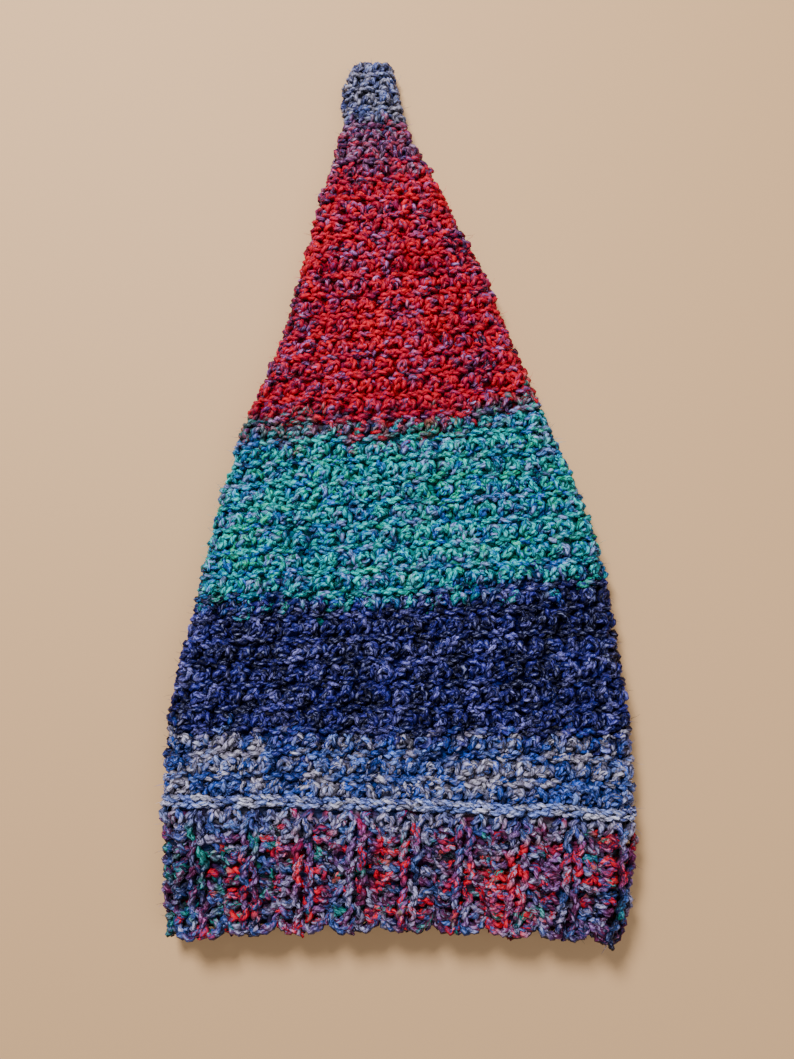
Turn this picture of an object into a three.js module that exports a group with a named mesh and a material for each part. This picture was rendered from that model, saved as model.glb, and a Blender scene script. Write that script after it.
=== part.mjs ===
// A long pointed crochet hat that lies flat: brim towards -Y, tip towards +Y, width along X, height along Z.
// Lengths are in millimetres. The hat is two layers of stitches, folded at both sides round a low hollow.
import * as THREE from 'three';

// Driving dimensions
const HAT_WIDTH = 235; // across the folded hat, where brim and crown meet
const BRIM_LENGTH = 50.5; // ribbed band, from the free edge to the edge round
const EDGE_ROUND_LENGTH = 6; // plain round along the top of the ribs
const RIDGE_LENGTH = 5; // raised chain at the join
const CROWN_LENGTH = 417.5; // from the raised chain to the closed tip
const CROWN_WALL = 6.5; // stitch thickness of the crown, crest to inner face
const BRIM_WALL = 8; // stitch thickness of the ribs, crest to inner face
const HOLLOW_HEIGHT = 8.5; // free height between the upper and the lower layer
const GATHERED_TIP_LENGTH = 62; // closed stretch between the hollow's end and the tip
const SEAM_GAP = 0.3; // clearance between pieces that meet
const RIB_COUNT = 18;
const RIB_DEPTH = 2.8; // outside, from rib crest to furrow
const INNER_RIB_DEPTH = 1.2;
const RIB_START = -5.4; // first furrow, measured from the middle of the upper layer
const SCALLOP_DEPTH = 4; // how far each rib's end stands out of the free edge
const LIP_ROUNDING = 2.6; // rounding of the free edge
const RIDGE_RISE = 1.8; // how far the raised chain stands above the crown
const ROUND_PITCH = 11.5; // length of one round of crown stitches
const ROUND_DEPTH = 1.3; // furrow between two rounds
const UPPER_SAG = 1.2; // how far the upper layer sinks between the side folds
const SETTLE_LENGTH = 57; // stretch over which the crown sinks from the thick brim to the surface

// Places along the hat, from the free edge
const EDGE_ROUND_START = BRIM_LENGTH + SEAM_GAP;
const RIDGE_START = EDGE_ROUND_START + EDGE_ROUND_LENGTH + SEAM_GAP;
const CROWN_START = RIDGE_START + RIDGE_LENGTH + SEAM_GAP;
const TIP = CROWN_START + CROWN_LENGTH;

// How full a rib is at each of its facet edges, from one furrow to just before the next
const RIB_FULLNESS = [0, 0.7, 1, 1, 1, 0.7];

// Facets round a section without ribs, and sections along the inner face of the crown
const LAYER_FACETS = 7;
const FOLD_FACETS = 6;
const HOLLOW_STATIONS = 12;

// A fold's radius is at most this share of the half width, and the brim's edges narrow by this share on
// each face. The hollow's end is the blunter the higher its power. A ring's crest lies between these shares
// of the ring's length.
const ROUNDEST_FOLD = 0.75;
const LIP_NARROWING = 0.35;
const HOLLOW_END_POWER = 6;
const CREST_START = 0.25;
const CREST_END = 0.75;

// Sections from the free edge to the crown. along is a share of the way up to the crown, and halfWidth a
// share of half the hat's width. shift (to +X), slope (rise from side to side) and bow (rise of the middle)
// are shares of the hat's width, and height is a share of the full thickness.
const BRIM_SECTIONS = [
  { along: 0.0, halfWidth: 0.924, shift: -0.012, slope: -0.02, bow: 0.023, height: 1 },
  { along: 0.3, halfWidth: 0.957, shift: -0.006, slope: -0.027, bow: 0.017, height: 1 },
  { along: 0.6, halfWidth: 0.971, shift: -0.003, slope: -0.036, bow: 0.011, height: 1 },
  { along: 0.85, halfWidth: 0.987, shift: 0.0, slope: -0.045, bow: 0.007, height: 1 },
];

// Sections of the crown, with along as a share of the crown's length.
const CROWN_SECTIONS = [
  { along: 0.0, halfWidth: 0.99, shift: 0.003, slope: -0.045, bow: 0.006, height: 1 },
  { along: 0.08, halfWidth: 0.992, shift: 0.007, slope: -0.022, bow: 0.003, height: 1 },
  { along: 0.15, halfWidth: 0.968, shift: 0.01, slope: -0.005, bow: 0, height: 1 },
  { along: 0.23, halfWidth: 0.918, shift: 0.018, slope: 0.015, bow: 0, height: 1 },
  { along: 0.3, halfWidth: 0.876, shift: 0.021, slope: 0.02, bow: 0, height: 1 },
  { along: 0.37, halfWidth: 0.808, shift: 0.017, slope: 0.02, bow: 0, height: 1 },
  { along: 0.425, halfWidth: 0.741, shift: 0.012, slope: 0.02, bow: 0, height: 1 },
  { along: 0.485, halfWidth: 0.672, shift: 0.011, slope: 0.02, bow: 0, height: 0.99 },
  { along: 0.535, halfWidth: 0.6, shift: 0.015, slope: 0.02, bow: 0, height: 0.98 },
  { along: 0.59, halfWidth: 0.522, shift: 0.016, slope: 0.015, bow: 0, height: 0.97 },
  { along: 0.65, halfWidth: 0.466, shift: 0.014, slope: 0.01, bow: 0, height: 0.96 },
  { along: 0.705, halfWidth: 0.396, shift: 0.006, slope: 0, bow: 0, height: 0.95 },
  { along: 0.765, halfWidth: 0.326, shift: -0.005, slope: 0, bow: 0, height: 0.93 },
  { along: 0.825, halfWidth: 0.248, shift: -0.011, slope: 0, bow: 0, height: 0.89 },
  { along: 0.86, halfWidth: 0.204, shift: -0.019, slope: 0, bow: 0, height: 0.85 },
  { along: 0.9, halfWidth: 0.163, shift: -0.021, slope: 0, bow: 0, height: 0.82 },
  { along: 0.95, halfWidth: 0.146, shift: -0.031, slope: 0, bow: 0, height: 0.8 },
  { along: 0.985, halfWidth: 0.113, shift: -0.025, slope: 0, bow: 0, height: 0.64 },
  { along: 0.995, halfWidth: 0.08, shift: -0.026, slope: 0, bow: 0, height: 0.45 },
  { along: 1.0, halfWidth: 0.035, shift: -0.027, slope: 0, bow: 0, height: 0.15 },
];

const SECTIONS = [
  ...BRIM_SECTIONS.map((row) => ({ ...row, y: row.along * CROWN_START })),
  ...CROWN_SECTIONS.map((row) => ({ ...row, y: CROWN_START + row.along * CROWN_LENGTH })),
];

// One column of the sections at any place along the hat, joined smoothly from row to row.
function sample(column, y) {
  const last = SECTIONS.length - 1;
  let k = 0;
  while (k < last - 1 && SECTIONS[k + 1].y < y) {
    k += 1;
  }
  const rise = (a, b) => (SECTIONS[b][column] - SECTIONS[a][column]) / (SECTIONS[b].y - SECTIONS[a].y);
  const span = SECTIONS[k + 1].y - SECTIONS[k].y;
  const t = THREE.MathUtils.clamp((y - SECTIONS[k].y) / span, 0, 1);
  const startRise = k > 0 ? rise(k - 1, k + 1) : rise(k, k + 1);
  const endRise = k + 1 < last ? rise(k, k + 2) : rise(k, k + 1);
  const t2 = t * t;
  const t3 = t2 * t;
  return (
    (2 * t3 - 3 * t2 + 1) * SECTIONS[k][column] +
    (t3 - 2 * t2 + t) * span * startRise +
    (3 * t2 - 2 * t3) * SECTIONS[k + 1][column] +
    (t3 - t2) * span * endRise
  );
}

// The flattened loop of a wall at one place: two layers, each 2 * straight wide, with round folds.
function section(y, wall) {
  const height = (HOLLOW_HEIGHT + 2 * wall) * sample('height', y);
  const halfWidth = (HAT_WIDTH / 2) * sample('halfWidth', y);
  const radius = Math.min(height / 2, ROUNDEST_FOLD * halfWidth);
  return { y, wall, radius, straight: halfWidth - radius, centre: foldCentre(y, radius) };
}

// Height of the folds' centre. The thick brim holds the start of the crown a little off the surface.
function foldCentre(y, radius) {
  const brimCentre = HOLLOW_HEIGHT / 2 + BRIM_WALL;
  const settle = THREE.MathUtils.smoothstep(y, CROWN_START, CROWN_START + SETTLE_LENGTH);
  return y < CROWN_START ? brimCentre : THREE.MathUtils.lerp(brimCentre, radius, settle);
}

// A point of a section. turn counts 0 to 1 over the upper layer towards +X, 1 to 2 round the fold at +X,
// 2 to 3 back along the lower layer and 3 to 4 round the fold at -X. outward is measured from the outer
// face.
function place(part, turn, outward, y = part.y) {
  const side = Math.floor(turn) % 4;
  const t = turn - Math.floor(turn);
  const reach = part.radius + outward;
  let x = side === 0 ? part.straight * (2 * t - 1) : part.straight * (1 - 2 * t);
  let z = side === 0 ? reach : -reach;
  if (side % 2 === 1) {
    const angle = Math.PI * (t - 0.5) * (side === 1 ? -1 : 1);
    x = (part.straight + reach * Math.cos(angle)) * (side === 1 ? 1 : -1);
    z = reach * Math.sin(angle);
  }
  const middle = 1 - (x / (part.straight + part.radius)) ** 2;
  const sag = z > 0 ? UPPER_SAG * middle * (part.straight / (HAT_WIDTH / 2)) : 0;
  const skew = sample('slope', y) * x + sample('bow', y) * HAT_WIDTH * middle;
  return new THREE.Vector3(
    x + HAT_WIDTH * sample('shift', y),
    y + skew,
    Math.max(0, part.centre + z - sag),
  );
}

// The turns of a section without ribs.
function plainTurns() {
  const turns = [];
  for (let side = 0; side < 4; side += 1) {
    const facets = side % 2 === 0 ? LAYER_FACETS : FOLD_FACETS;
    for (let k = 0; k < facets; k += 1) {
      turns.push(side + k / facets);
    }
  }
  return turns;
}

// The turn at a distance along the middle of the wall, measured from the middle of the upper layer.
function turnAt(distance, part) {
  const layer = 2 * part.straight;
  const fold = Math.PI * (part.radius - part.wall / 2);
  const lengths = [layer, fold, layer, fold];
  let rest = THREE.MathUtils.euclideanModulo(distance + layer / 2, 2 * (layer + fold));
  let side = 0;
  while (rest >= lengths[side]) {
    rest -= lengths[side];
    side += 1;
  }
  return side + rest / lengths[side];
}

// The turn of one of count facet edges that lie at equal distances, starting in the first furrow.
function ribTurn(index, count, part) {
  const loop = 4 * part.straight + 2 * Math.PI * (part.radius - part.wall / 2);
  return turnAt(RIB_START + (loop * index) / count, part);
}

// A closed skin through rings of points. A bag starts and ends with a ring of one point. Otherwise the last
// ring joins the first.
function skin(rings) {
  const points = [];
  const starts = rings.map((ring) => {
    points.push(...ring);
    return points.length - ring.length;
  });
  const faces = [];
  const joins = rings[0].length === 1 ? rings.length - 1 : rings.length;
  for (let k = 0; k < joins; k += 1) {
    const next = (k + 1) % rings.length;
    const sides = Math.max(rings[k].length, rings[next].length);
    for (let i = 0; i < sides; i += 1) {
      const a = starts[k] + (i % rings[k].length);
      const b = starts[k] + ((i + 1) % rings[k].length);
      const c = starts[next] + (i % rings[next].length);
      const d = starts[next] + ((i + 1) % rings[next].length);
      if (a !== b) {
        faces.push(a, b, c);
      }
      if (c !== d) {
        faces.push(b, d, c);
      }
    }
  }
  const geometry = new THREE.BufferGeometry();
  const numbers = points.flatMap((point) => point.toArray());
  geometry.setAttribute('position', new THREE.Float32BufferAttribute(numbers, 3));
  geometry.setIndex(faces);
  geometry.computeVertexNormals();
  return geometry;
}

// The ribbed band. Its rings run up the outer face, over the end at the join, down the inner face and round
// the lip.
function brimBand() {
  const count = RIB_COUNT * RIB_FULLNESS.length;
  const ring = (y, outwardAt) => {
    const part = section(y, BRIM_WALL);
    return Array.from({ length: count }, (_, index) => {
      const full = RIB_FULLNESS[index % RIB_FULLNESS.length];
      const nearEdge = 1 - THREE.MathUtils.smoothstep(y, 0, BRIM_LENGTH / 3);
      const scallop = SCALLOP_DEPTH * (1 - full) * nearEdge;
      return place(part, ribTurn(index, count, part), outwardAt(full), y + scallop);
    });
  };
  const outer = (full) => -RIB_DEPTH * (1 - full);
  const inner = (full) => -BRIM_WALL + INNER_RIB_DEPTH * (1 - full);
  const lip = (full) => (outer(full) + inner(full)) / 2;
  const shrink = (face) => (full) => THREE.MathUtils.lerp(face(full), lip(full), LIP_NARROWING);
  return skin([
    ring(0, shrink(outer)),
    ring(LIP_ROUNDING, outer),
    ring(BRIM_LENGTH / 3, outer),
    ring((2 * BRIM_LENGTH) / 3, outer),
    ring(BRIM_LENGTH - LIP_ROUNDING, outer),
    ring(BRIM_LENGTH, shrink(outer)),
    ring(BRIM_LENGTH, inner),
    ring(BRIM_LENGTH / 2, inner),
    ring(LIP_ROUNDING, inner),
    ring(0, shrink(inner)),
  ]);
}

// A plain ring of stitches round the hat, with a crest that stands above the wall's outer face by rise.
function stitchRing(start, length, wall, rise) {
  const ring = (share, outward) => {
    const part = section(start + share * length, wall);
    return plainTurns().map((turn) => place(part, turn, outward));
  };
  return skin([
    ring(0, -ROUND_DEPTH),
    ring(CREST_START, rise),
    ring(CREST_END, rise),
    ring(1, -ROUND_DEPTH),
    ring(1, -wall),
    ring(0, -wall),
  ]);
}

// The lower layer is pressed flat where it rests, so its rounds don't stand out.
function isPressed(turn) {
  return turn >= 2 && turn <= 3;
}

// The crown: a bag whose outer face swells at each round of stitches and whose hollow ends short of the tip.
// Its skin runs from the hollow's end out to the join, and from there over the outer face to the tip.
function crown() {
  const turns = plainTurns();
  const rounds = Math.round(CROWN_LENGTH / ROUND_PITCH);
  const hollowLength = CROWN_LENGTH - GATHERED_TIP_LENGTH;
  const outerRing = (share, furrow) => {
    const part = section(CROWN_START + share * CROWN_LENGTH, CROWN_WALL);
    return turns.map((turn) => place(part, turn, isPressed(turn) ? 0 : -furrow));
  };
  const innerRing = (share) => {
    const y = CROWN_START + share * hollowLength;
    const part = section(y, CROWN_WALL);
    const closing = Math.sqrt(1 - share ** HOLLOW_END_POWER);
    const hollow = Math.max(0, part.radius - CROWN_WALL) * closing;
    part.straight *= closing;
    return turns.map((turn) => place(part, turn, hollow - part.radius));
  };
  const rings = [];
  for (let k = HOLLOW_STATIONS - 1; k >= 0; k -= 1) {
    rings.push(innerRing(k / HOLLOW_STATIONS));
  }
  for (let k = 0; k <= 2 * rounds; k += 1) {
    rings.push(outerRing(k / (2 * rounds), k % 2 === 0 && k < 2 * rounds ? ROUND_DEPTH : 0));
  }
  const hollowEnd = section(CROWN_START + hollowLength, CROWN_WALL);
  const tip = section(TIP, CROWN_WALL);
  const innerPole = place(hollowEnd, 0.5, -hollowEnd.radius);
  const outerPole = place(tip, 0.5, -tip.radius);
  return skin([[innerPole], ...rings, [outerPole]]);
}

// Each piece's main yarn colour
const YARNS = {
  crown: { color: 0x3b6f86, roughness: 0.85 },
  chain_ridge: { color: 0x8f9dbb, roughness: 0.8 },
  edge_round: { color: 0x6d7fa8, roughness: 0.85 },
  brim_band: { color: 0x5b4668, roughness: 0.85 },
};

const hat = new THREE.Group();

function addPiece(name, geometry) {
  const material = new THREE.MeshStandardMaterial({ ...YARNS[name], metalness: 0 });
  const mesh = new THREE.Mesh(geometry, material);
  mesh.name = name;
  hat.add(mesh);
}

addPiece('crown', crown());
addPiece('chain_ridge', stitchRing(RIDGE_START, RIDGE_LENGTH, CROWN_WALL, RIDGE_RISE));
addPiece('edge_round', stitchRing(EDGE_ROUND_START, EDGE_ROUND_LENGTH, CROWN_WALL, 0));
addPiece('brim_band', brimBand());

// The origin is under the middle of the whole hat, on the surface that it lies on.
const extent = new THREE.Box3().setFromObject(hat);
const middle = extent.getCenter(new THREE.Vector3());
hat.position.set(-middle.x, -middle.y, -extent.min.z);

export default hat;
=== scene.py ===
# A long pointed crochet hat that lies flat, made strand by strand: two-ply marled yarn worked in rounds
# on the crown, a raised chain at the join and sideways ribs on the brim.
# Lengths are in millimetres until a mesh is made, which is in metres.
import math

import bpy
import numpy as np
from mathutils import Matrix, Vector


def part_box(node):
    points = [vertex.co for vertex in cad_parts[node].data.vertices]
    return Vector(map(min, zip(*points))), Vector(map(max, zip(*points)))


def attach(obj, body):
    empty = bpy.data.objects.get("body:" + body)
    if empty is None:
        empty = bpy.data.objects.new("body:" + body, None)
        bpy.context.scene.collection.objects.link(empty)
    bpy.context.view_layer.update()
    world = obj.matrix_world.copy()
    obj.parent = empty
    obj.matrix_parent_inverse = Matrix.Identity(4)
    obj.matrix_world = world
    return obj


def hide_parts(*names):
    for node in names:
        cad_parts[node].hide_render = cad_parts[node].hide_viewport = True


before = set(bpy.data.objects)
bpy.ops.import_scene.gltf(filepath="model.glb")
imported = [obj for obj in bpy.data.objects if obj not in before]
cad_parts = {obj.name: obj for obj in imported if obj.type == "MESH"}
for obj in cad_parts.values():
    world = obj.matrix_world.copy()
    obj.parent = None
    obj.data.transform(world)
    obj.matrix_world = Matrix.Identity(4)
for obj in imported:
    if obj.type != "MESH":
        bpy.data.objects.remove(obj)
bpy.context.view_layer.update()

MM = 0.001
rng = np.random.default_rng(20)

# Driving dimensions of the hat, as in the part
HAT_WIDTH = 235.0
BRIM_LENGTH = 50.5
EDGE_ROUND_LENGTH = 6.0
RIDGE_LENGTH = 5.0
CROWN_LENGTH = 417.5
CROWN_WALL = 6.5
BRIM_WALL = 8.0
HOLLOW_HEIGHT = 8.5
GATHERED_TIP_LENGTH = 62.0
SEAM_GAP = 0.3
RIB_COUNT = 18
RIB_DEPTH = 2.8
RIB_START = -5.4
SCALLOP_DEPTH = 4.0
ROUND_PITCH = 11.5
UPPER_SAG = 1.2
SETTLE_LENGTH = 57.0
ROUNDEST_FOLD = 0.75

EDGE_ROUND_START = BRIM_LENGTH + SEAM_GAP
RIDGE_START = EDGE_ROUND_START + EDGE_ROUND_LENGTH + SEAM_GAP
CROWN_START = RIDGE_START + RIDGE_LENGTH + SEAM_GAP
TIP = CROWN_START + CROWN_LENGTH

# Yarn: each ply's radius and distance from the yarn's middle, how they twist, and thick and thin places
PLIES = ((1.52, 0.9), (1.34, 1.1))
PLUMPNESS = 0.12
TWIST_LENGTH = 8.0
TWIST_SPREAD = (0.85, 1.25)
WIDTH_SPREAD = (0.88, 1.12)
SLUB = 0.12
SLUB_LENGTHS = (7, 13)
SLUB_PHASES = (0, 6.3)
END_WIDTH = 0.35
END_SWELL = 2.6
FIBRE_TWIST = 0.5
FIBRE_OFFSET = 900
LOOSE_FIBRE_SCALE = 0.5

# Stitches, the small differences between them, and the furrows between and along the rounds
STITCH_WIDTH = 9.1
RIB_STITCHES = 5
TIP_STITCHES = 7
ROUND_DRIFT = 0.37
ROUND_SPREAD = 0.25
JITTER = np.array([0.11, 0.05, 0.42])
POINT_JITTER = 0.5
ROUND_FURROW = 1.1
ROUND_FURROW_SHARPNESS = 6
MIDDLE_FURROW = 0.7
MIDDLE_FURROW_SHARPNESS = 10
MIDDLE_FURROW_SHIFT = 0.02

# The two rounds at the join, and their slight waves as (length, shift)
RIDGE_ROUND = {"start": RIDGE_START + 0.3, "height": 4.4, "rise": 0.5, "width": 0.8, "twist": 1.1}
EDGE_ROUND = {"start": EDGE_ROUND_START - 1.5, "height": 9.8, "rise": 0.6}
RING_WAVE = 0.35
RING_WAVES = ((7.3, 0.0), (4.1, 1.0))

# Where the stitches of a rib start, and what is left free of them at its end
RIB_STITCH_START = 0.06
RIB_MARGIN = 1.0

# How finely a strand is made where it shows, on the side that the hat lies on and along the free edge
FINE = {"samples": 11, "sides": 5}
PLAIN = {"samples": 6, "sides": 4}
LONG = {"samples": 12, "sides": 5}

# The side that the hat lies on
FLOOR_SQUASH = 1.4
LOWEST_YARN = 0.05
LOWEST_FUZZ = 0.1
UNDERSIDE_HEIGHT = 4.0
UNDER_SPLIT = 200.0

# Painted shade in the yarn's colour: light that is lost down in the fabric and where a ply turns under the
# other, with bright dyes darkened less
DEEPEST = -5.0
SHALLOWEST = 0.3
DEEP_SHADE = 0.12
UNDER_SHADE = 0.55
TURNED_SPAN = 0.7
DEEP_GLOW = 0.8

# Bright reds get less of the painted highlight gleam and softer painted shade
RED_REACH = 3
RED_GLEAM_CUT = 0.92
RED_SHADE_SOFTNESS = 0.25

# Loose fibres that stand off the yarn: their share in the middle, and more at the folds and the tip
FUZZ_SHARES = (0.12, 0.8)
FUZZ_FOLDS = (0.82, 0.97)
FUZZ_TIP = (100, 40)
FUZZ_REACH = (4.2, 7.0)
FUZZ_RADIUS = 0.1
FUZZ_RISE = (0.2, 1.2)
FUZZ_LEAN = (0.8, 0.5)
FUZZ_CURL = 0.45
FUZZ_RINGS = ((0.3, 1.0), (0.68, 0.85), (1.0, 0.3))
FUZZ_SIDES = 3
# The loose fibres are painted lighter than the yarn they grow from, a painted highlight
FUZZ_LIGHT = 1.3

# A dark sheet inside the fabric, painted shade that shows between the strands
CORE_SIDES = 56
CORE_STEP = 5.0
CORE_OUTER = -4.3
CORE_INNER = 0.9
CORE_LAP = 1.0
CORE_SHADE = 0.42
BRIM_CORE_START = 3.5

# Dyes: how pure and dark they are, how they mix along the yarn and where they change
PURITY = 1.3
DYE_GAIN = 0.64
DARKEST_DYE = 0.0015
DYE_STRENGTHS = (0.78, 1.22)
DYE_CHANGE = (0.25, 0.75)
CELL_NOISE = (127.1, 311.7, 74.7, 43758.5)
PATCH_WAVES = 6
PATCH_LENGTHS = (24, 70)
PATCH_SHARE = 0.2
STITCH_SHARE = 0.55
LOOSE_SHARE = 0.75
CROWN_SEED = 5
PLAIN_SEED = 9
BRIM_SEED = 13
BRIM_PATCH_SCALE = (1.6, 0.55)
STRIPE_REACH = 110.0
STRIPE_BLEND = 4.5
EDGE_BLEND = 2.4
EDGE_FADE = (BRIM_LENGTH - 4.5, BRIM_LENGTH - 0.5)

# Yarn material: roughness and gloss of the yarn and of the dark sheet of painted shade, the fine fibres
# along a ply, and the painted side shade, painted top light and painted highlight gleam on each ply
YARN_FINISH = (0.45, 0.12)
CORE_FINISH = (0.95, 0.0)
SHEEN_SHARE = 0.12
SHEEN_ROUGHNESS = 0.4
FIBRE_STRETCH = (0.16, 1.0, 1.0)
FIBRE_SCALE = 1.6
FIBRE_DETAIL = 2.0
FIBRE_ROUGHNESS = 0.6
FIBRE_RAGGEDNESS = 6.0
MARL_SPAN = (0.5, 0.58)
SHADE_SPAN = (2.9, 4.4)
SIDE_SHADE = 0.3
TOP_LIGHT = 1.8
GLEAM_SPAN = (4.0, 5.0)
GLEAM = 0.3
GLEAM_COLOUR = (0.62, 0.66, 1.0)
BUMP_STRENGTH = 0.9
BUMP_DEPTH = 0.0005

# Camera, in the hat's own millimetres before the origin is moved under its middle
CAMERA_PLACE = (13.15, 122.7, 424.0)
CAMERA_ANGLES = (10.3, 1.56, -1.12)
CAMERA_LENS = 27.2
CAMERA_SENSOR = 36.0
CAMERA_NEAR = 0.01

# Floor and light, in metres and watts
FLOOR_REACH = 8.0
FLOOR_COLOUR = (0.64, 0.38, 0.185, 1)
FLOOR_ROUGHNESS = 0.7
LIGHTS = (
    ("main_light", (-0.4, 0.8, 1.2), 0.4, 36.0),
    ("fill_light", (0.8, -0.4, 1.4), 1.0, 7.5),
)
SKY_COLOUR = (0.97, 0.98, 1.0, 1)
SKY_STRENGTH = 0.27

# Sections as in the part. The first column is the share of the way up to the crown, and the others are the
# half width, shift, slope, bow and height.
BRIM_SECTIONS = (
    (0.0, 0.924, -0.012, -0.02, 0.023, 1),
    (0.3, 0.957, -0.006, -0.027, 0.017, 1),
    (0.6, 0.971, -0.003, -0.036, 0.011, 1),
    (0.85, 0.987, 0.0, -0.045, 0.007, 1),
)

# Sections of the crown, with the first column as a share of the crown's length
CROWN_SECTIONS = (
    (0.0, 0.99, 0.003, -0.045, 0.006, 1),
    (0.08, 0.992, 0.007, -0.022, 0.003, 1),
    (0.15, 0.968, 0.01, -0.005, 0, 1),
    (0.23, 0.918, 0.018, 0.015, 0, 1),
    (0.3, 0.876, 0.021, 0.02, 0, 1),
    (0.37, 0.808, 0.017, 0.02, 0, 1),
    (0.425, 0.741, 0.012, 0.02, 0, 1),
    (0.485, 0.672, 0.011, 0.02, 0, 0.99),
    (0.535, 0.6, 0.015, 0.02, 0, 0.98),
    (0.59, 0.522, 0.016, 0.015, 0, 0.97),
    (0.65, 0.466, 0.014, 0.01, 0, 0.96),
    (0.705, 0.396, 0.006, 0, 0, 0.95),
    (0.765, 0.326, -0.005, 0, 0, 0.93),
    (0.825, 0.248, -0.011, 0, 0, 0.89),
    (0.86, 0.204, -0.019, 0, 0, 0.85),
    (0.9, 0.163, -0.021, 0, 0, 0.82),
    (0.95, 0.146, -0.031, 0, 0, 0.8),
    (0.985, 0.113, -0.025, 0, 0, 0.64),
    (0.995, 0.08, -0.026, 0, 0, 0.45),
    (1.0, 0.035, -0.027, 0, 0, 0.15),
)
COLUMNS = {"half_width": 1, "shift": 2, "slope": 3, "bow": 4, "height": 5}
TABLE_PLACES = 2000

# Yarn colours by stripe. Each stripe has one palette for each ply, with the share of each colour.
PALETTES = {
    "tip": (
        ((0.35, (88, 98, 148)), (0.35, (114, 120, 154)), (0.3, (142, 138, 152))),
        ((0.35, (56, 58, 104)), (0.35, (152, 148, 162)), (0.3, (44, 44, 74))),
    ),
    "mauve": (
        ((0.4, (152, 68, 86)), (0.3, (114, 62, 96)), (0.3, (176, 24, 76))),
        ((0.35, (150, 122, 146)), (0.35, (70, 50, 96)), (0.3, (116, 78, 104))),
    ),
    "red": (
        ((0.45, (204, 2, 73)), (0.35, (182, 2, 72)), (0.2, (144, 2, 66))),
        ((0.5, (190, 2, 75)), (0.19, (142, 102, 148)), (0.16, (88, 46, 94)), (0.15, (42, 20, 54))),
    ),
    "muted": (
        ((0.3, (150, 56, 66)), (0.4, (84, 106, 108)), (0.3, (58, 62, 84))),
        ((0.35, (112, 82, 112)), (0.35, (54, 120, 116)), (0.3, (134, 94, 104))),
    ),
    "teal": (
        ((0.3, (50, 156, 124)), (0.4, (52, 162, 162)), (0.3, (42, 112, 162))),
        ((0.3, (60, 100, 172)), (0.28, (86, 184, 184)), (0.18, (146, 158, 204)), (0.24, (24, 52, 92))),
    ),
    "navy": (
        ((0.5, (12, 12, 48)), (0.3, (24, 26, 80)), (0.2, (46, 50, 120))),
        ((0.42, (12, 12, 52)), (0.34, (54, 53, 124)), (0.24, (126, 124, 180))),
    ),
    "steel": (
        ((0.35, (140, 134, 152)), (0.4, (62, 86, 162)), (0.25, (44, 56, 112))),
        ((0.37, (178, 174, 188)), (0.3, (120, 136, 190)), (0.33, (38, 44, 90))),
    ),
    "ridge": (
        ((0.34, (196, 194, 212)), (0.38, (122, 136, 194)), (0.28, (174, 172, 194))),
        ((0.36, (200, 198, 216)), (0.34, (134, 146, 198)), (0.3, (68, 76, 130))),
    ),
    "edge": (
        ((0.34, (110, 114, 152)), (0.28, (76, 88, 150)), (0.24, (156, 150, 170)), (0.14, (150, 40, 84))),
        ((0.36, (58, 56, 100)), (0.32, (164, 156, 178)), (0.18, (92, 116, 170)), (0.14, (132, 78, 122))),
    ),
}

# Stripes of the crown from the join up, each with where it ends at five places from left to right
STRIPE_SPOTS = (-STRIPE_REACH, -STRIPE_REACH / 2, 0.0, STRIPE_REACH / 2, STRIPE_REACH)
STRIPES = (
    ("steel", (94.5, 92.0, 89.8, 89.2, 88.6)),
    ("navy", (163.5, 161.0, 160.0, 168.0, 171.0)),
    ("teal", (248.0, 245.5, 243.5, 257.0, 266.0)),
    ("muted", (264.0, 256.0, 250.0, 263.0, 273.0)),
    ("red", (400.0, 401.0, 402.0, 402.5, 403.0)),
    ("mauve", (432.0, 433.0, 434.0, 434.0, 434.0)),
    ("tip", (600.0, 600.0, 600.0, 600.0, 600.0)),
)

# Brim yarn: colours with their share at the left edge, in the middle and at the right edge of the hat
BRIM_YARN = (
    ((28, 30, 64), (0.27, 0.17, 0.3)),
    ((64, 82, 134), (0.24, 0.15, 0.15)),
    ((98, 44, 78), (0.09, 0.17, 0.15)),
    ((44, 122, 116), (0.14, 0.03, 0.01)),
    ((146, 140, 168), (0.17, 0.16, 0.12)),
    ((120, 88, 134), (0.07, 0.11, 0.1)),
    ((204, 2, 74), (0.02, 0.3, 0.17)),
)

# Strand shapes of one stitch: points of (across the stitch, up the round, height over the outer face)
LEFT_LEG = (
    (0.36, -0.16, -5.0), (0.18, 0.08, -3.0), (0.24, 0.36, -2.0),
    (0.42, 0.6, -2.5), (0.6, 0.78, -4.6),
)
RIGHT_LEG = (
    (0.58, -0.16, -5.0), (0.82, 0.06, -2.9), (0.76, 0.34, -1.9),
    (0.6, 0.58, -2.5), (0.42, 0.76, -4.6),
)
WRAP = ((0.04, 0.24, -4.6), (0.26, 0.42, -2.7), (0.52, 0.5, -2.1), (0.8, 0.46, -2.6), (1.02, 0.34, -4.6))
FRONT_LOOP = (
    (-0.22, 0.72, -5.0), (0.1, 0.76, -2.4), (0.5, 0.84, -1.7),
    (0.9, 0.92, -2.3), (1.18, 0.98, -5.0),
)
LINK_UP = ((-0.2, 0.62, -4.0), (0.1, 0.86, -1.7), (0.5, 0.92, -1.0), (0.9, 0.76, -1.2), (1.24, 0.5, -3.4))
LINK_DOWN = (
    (-0.16, 0.0, -4.0), (0.1, 0.1, -2.0), (0.45, 0.22, -1.3),
    (0.84, 0.36, -1.3), (1.16, 0.52, -3.6),
)
SECOND_WRAP = (
    (-0.1, 0.0, -4.8), (0.16, 0.1, -3.2), (0.42, 0.2, -2.8),
    (0.66, 0.32, -3.0), (0.92, 0.5, -4.8),
)
RIB_LEFT = ((0.36, -0.2, -4.2), (0.2, 0.1, -2.6), (0.2, 0.42, -2.1), (0.3, 0.72, -2.2), (0.42, 1.04, -4.4))
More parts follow.
